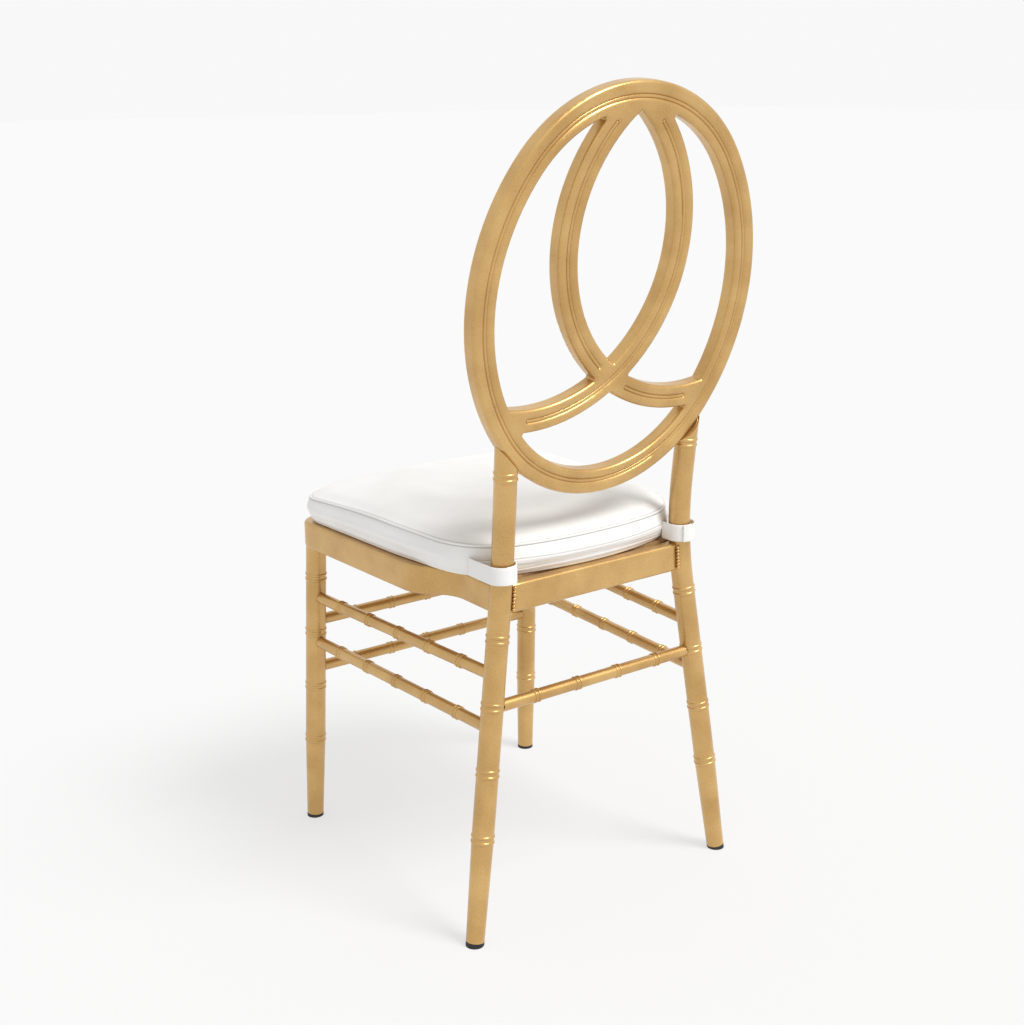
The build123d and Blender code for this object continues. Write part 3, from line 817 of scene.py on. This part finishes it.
@dataclass
class Straps:
    """Two-part straps that hold the cushion to the rear posts."""

    tape: bpy.types.Material
    thick: float = 1.9 * MM
    cad_thick: float = 1.5 * MM
    flap_inner: float = 16.6 * MM
    flap_root: float = 0.5 * MM
    flap_turn: float = 118.0
    tab_inner: float = 14.7 * MM
    tab_root: float = 1.5 * MM
    tab_turn: float = 105.0
    flat_power: float = 0.5
    tall_power: float = 0.35
    sections: int = 28
    steps: int = 90

    def path(self, centre: np.ndarray, inner: float, root_y: float, hand: int, turn: float) -> np.ndarray:
        """Middle line in plan: straight back from the root, then round the post.

        Args:
            centre: the post's axis in plan.
            inner: from the axis to the inside of the tape.
            root_y: where the tape leaves the cushion.
            hand: one for round from +X, minus one from -X.
            turn: how far round, in degrees.

        Returns:
            Points an equal step apart.
        """
        radius = inner + self.cad_thick / 2
        straight = centre[1] - root_y
        at = np.linspace(0.0, straight + radius * math.radians(turn), self.steps)
        angle = np.clip((at - straight) / radius, 0.0, None)
        x = centre[0] + hand * radius * np.cos(angle)
        y = np.where(at < straight, root_y + at, centre[1] + radius * np.sin(angle))
        return np.column_stack((x, y))

    def strip(self, name: str, path: np.ndarray, low: float, high: float, mirror: int) -> bpy.types.Object:
        """Carry a rounded flat section along a plan line.

        The section is a superellipse, as thick as the tape and as tall as its width, a little
        fuller at the middle of its height.

        Args:
            name: piece name.
            path: plan points.
            low: lower edge of the tape.
            high: upper edge of the tape.
            mirror: minus one where the tape is mirrored to the other post.

        Returns:
            The tape.
        """
        ahead = np.gradient(path, axis=0)
        ahead /= np.linalg.norm(ahead, axis=1, keepdims=True)
        across = np.column_stack((ahead[:, 1], -ahead[:, 0]))
        turn = np.linspace(0.0, -2 * math.pi, self.sections, endpoint=False)
        cos, sin = np.cos(turn), np.sin(turn)
        flat = np.sign(cos) * np.abs(cos) ** self.flat_power * self.thick / 2
        tall = np.sign(sin) * np.abs(sin) ** self.tall_power * (high - low) / 2
        plan = path[:, None, :] + across[:, None, :] * flat[None, :, None]
        height = np.broadcast_to((low + high) / 2 + tall, plan.shape[:2])
        grid = np.concatenate((plan, height[..., None]), axis=2)
        return grid_mesh(name, mirrored(grid) if mirror < 0 else grid, self.tape)

    def build(self, side: Side) -> list[bpy.types.Object]:
        """Make the inner tab and the outer flap that bear the name of one side.

        The flap lies at that side's post. The tab lies at the other post, a known slip in its
        mirror sign: the two tabs are mirror images and ride together, so it doesn't show.

        Args:
            side: which side of the chair.

        Returns:
            The tab and the flap.
        """
        tab_low, tab_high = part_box("strap_tab_left")
        flap_low, flap_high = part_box("strap_flap_left")
        centre_x = flap_high.x - self.cad_thick - self.flap_inner
        centre_y = tab_high.y - self.cad_thick - self.tab_inner
        centre = np.array([centre_x, centre_y])
        tab_path = self.path(centre, self.tab_inner, tab_low.y - self.tab_root, -1, self.tab_turn)
        flap_path = self.path(centre, self.flap_inner, flap_low.y - self.flap_root, 1, self.flap_turn)
        tab = self.strip(f"strap_tab_{side.word}_tape", tab_path, tab_low.z, tab_high.z, -side.value)
        flap = self.strip(f"strap_flap_{side.word}_tape", flap_path, flap_low.z, flap_high.z, side.value)
        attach(tab, "cushion")
        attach(flap, f"strap_flap_{side.word}")
        for piece, node in ((tab, "strap_tab"), (flap, "strap_flap")):
            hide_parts(f"{node}_{side.word}")
        return [tab, flap]


@dataclass
class PostWeld:
    """Weld metal that closes the upper end of a rear post under the oval ring.

    The post's axis and the circle of the ring's lower end are those of the part's source.
    """

    gold: bpy.types.Material
    foot: tuple[float, float, float] = (125.2 * MM, 144.27 * MM, 420.0 * MM)
    run: tuple[float, float, float] = (0.022, 0.088, 1.0)
    oval_y: float = 177.4 * MM
    oval_z: float = 705.0 * MM
    rake: float = 8.5
    end_centre: float = 46.0 * MM
    end_radius: float = 174.0 * MM
    radius: float = 11.2 * MM
    under: tuple[float, float] = (6.0 * MM, 0.6 * MM)
    hub: float = 0.02
    points: int = 48
    rings: int = 8
    passes: int = 4

    def sheet(self, shares: np.ndarray, under: float) -> np.ndarray:
        """Rings across the tube that follow the ring's outer edge from below.

        Each point starts on the post's axis, goes out by its share of the radius and is then
        slid along the axis until it lies below the circle of the ring's lower end.

        Args:
            shares: radius of each ring as a share of the whole.
            under: how far below the circle, in metres.

        Returns:
            Rings by points by three.
        """
        axis = np.array(self.run) / np.linalg.norm(self.run)
        first = np.cross((0.0, 1.0, 0.0), axis)
        first /= np.linalg.norm(first)
        second = np.cross(axis, first)
        turn = np.linspace(0.0, 2 * math.pi, self.points, endpoint=False)
        spoke = np.cos(turn)[:, None] * first + np.sin(turn)[:, None] * second
        place = np.array(self.foot) + shares[:, None, None] * self.radius * spoke
        up = np.array([0.0, math.sin(math.radians(self.rake)), math.cos(math.radians(self.rake))])
        middle = np.array([0.0, self.oval_y, self.oval_z])
        for _ in range(self.passes):
            edge = -self.end_centre - np.sqrt(self.end_radius**2 - place[..., 0] ** 2) - under
            short = edge - (place - middle) @ up
            place = place + (short / (axis @ up))[..., None] * axis
        return place

    def build(self, side: Side) -> bpy.types.Object:
        """Make the closed plug of one post.

        Args:
            side: which side of the chair.

        Returns:
            The plug.
        """
        shares = np.linspace(self.hub, 1.0, self.rings)
        low, high = self.under
        grid = np.concatenate((self.sheet(shares, low), self.sheet(shares[::-1], high)))
        if side is Side.RIGHT:
            grid = mirrored(grid)
        piece = grid_mesh(f"post_weld_{side.word}", grid, self.gold)
        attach(piece, "frame")
        return piece


@dataclass
class MetalFrame:
    """The welded frame, the oval back, the panel and the feet, as the CAD has them."""

    finishes: dict[str, bpy.types.Material]

    def dress(self) -> list[str]:
        """Give each carried-over CAD node the finish of its slot.

        Returns:
            Names of the dressed nodes.
        """
        slots = {row["node"]: row["material_slot"] for row in frame["record"]["subparts"]}
        done = []
        for node, piece in sorted(frame["nodes"].items()):
            finish = self.finishes.get(slots[node])
            if finish is None:
                continue
            piece.data.materials.clear()
            piece.data.materials.append(finish)
            done.append(node)
        return done


@dataclass
class Studio:
    """White paper, one broad soft lamp from behind the chair and even fill."""

    paper: bpy.types.Material
    eye: tuple[float, float, float] = (1.0323, 1.3797, 0.9296)
    yaw: float = 216.6705
    pitch: float = -16.2453
    roll: float = -0.2519
    lens: float = 53.174
    sensor: float = 36.0
    floor_half: float = 30.0
    fill: float = 0.62
    white: float = 0.94
    sun_strength: float = 2.2
    sun_spread: float = 24.0
    sun_from: tuple[float, float, float] = (-0.35, 0.75, 1.15)

    def build(self) -> None:
        """Lay the floor, hang the lamp, light the surroundings and set the camera."""
        self.lay_floor()
        self.hang_lamp()
        self.light_room()
        self.set_camera()
        bpy.context.scene.view_settings.view_transform = "Standard"

    def lay_floor(self) -> None:
        """A wide level sheet under the feet."""
        h = self.floor_half
        mesh = bpy.data.meshes.new("floor_paper")
        mesh.from_pydata([(-h, -h, 0), (h, -h, 0), (h, h, 0), (-h, h, 0)], [], [(0, 1, 2, 3)])
        mesh.materials.append(self.paper)
        floor = bpy.data.objects.new("floor_paper", mesh)
        bpy.context.scene.collection.objects.link(floor)

    def hang_lamp(self) -> None:
        """A broad sun that stands for a large softbox."""
        lamp = bpy.data.lights.new("softbox", "SUN")
        lamp.energy = self.sun_strength
        lamp.angle = math.radians(self.sun_spread)
        holder = bpy.data.objects.new("softbox", lamp)
        holder.rotation_euler = Vector(self.sun_from).to_track_quat("Z", "Y").to_euler()
        bpy.context.scene.collection.objects.link(holder)

    def light_room(self) -> None:
        """Even fill for matt surfaces, and a white backdrop for the eye and for gloss."""
        world = bpy.data.worlds.new("white_room")
        bpy.context.scene.world = world
        world.use_nodes = True
        room = Nodes(world.node_tree)
        ray = room.add("ShaderNodeLightPath", {}).outputs
        seen = ray["Is Camera Ray"]
        for name in ("Is Glossy Ray", "Is Transmission Ray"):
            seen = room.add("ShaderNodeMath", {0: seen, 1: ray[name]}, operation="MAXIMUM").outputs[0]
        lights = [
            room.add("ShaderNodeBackground", {"Color": WHITE, "Strength": strength}).outputs[0]
            for strength in (self.fill, self.white)
        ]
        mix = room.add("ShaderNodeMixShader", {0: seen, 1: lights[0], 2: lights[1]})
        room.add("ShaderNodeOutputWorld", {"Surface": mix.outputs[0]})

    def set_camera(self) -> None:
        """Stand the camera behind the chair's left rear corner, about as high as its top."""
        yaw, pitch, roll = (math.radians(a) for a in (self.yaw, self.pitch, self.roll))
        level = math.cos(pitch)
        ahead = Vector((math.sin(yaw) * level, math.cos(yaw) * level, math.sin(pitch)))
        right = ahead.cross(Vector((0, 0, 1))).normalized()
        up = right.cross(ahead)
        turned = right * math.cos(roll) + up * math.sin(roll)
        upright = up * math.cos(roll) - right * math.sin(roll)
        data = bpy.data.cameras.new("camera")
        data.lens = self.lens
        data.sensor_width = self.sensor
        camera = bpy.data.objects.new("camera", data)
        axes = Matrix((turned, upright, -ahead)).transposed().to_4x4()
        camera.matrix_world = Matrix.Translation(self.eye) @ axes
        bpy.context.scene.collection.objects.link(camera)
        bpy.context.scene.camera = camera


def main() -> None:
    """Dress the frame, make the soft pieces and set up the studio."""
    logging.basicConfig(level=logging.INFO, format="%(name)s: %(message)s")
    gold = GoldLacquer().build()
    finishes = {
        "gold_coated_aluminium": gold,
        "glide_plastic": BlackPlastic().build(),
        "plywood": Plywood().build(),
        "screw_steel": ZincPlate().build(),
    }
    for node in MetalFrame(finishes).dress():
        LOG.info("dressed %s", node)
    cushion = Cushion(WhiteVinyl().build()).build()
    LOG.info("made %s", cushion.name)
    straps = Straps(WhiteTape().build())
    weld = PostWeld(gold)
    for side in Side:
        LOG.info("made %s", weld.build(side).name)
        for piece in straps.build(side):
            LOG.info("made %s", piece.name)
    Studio(StudioPaper().build()).build()


if __name__ == "__main__":
    main()
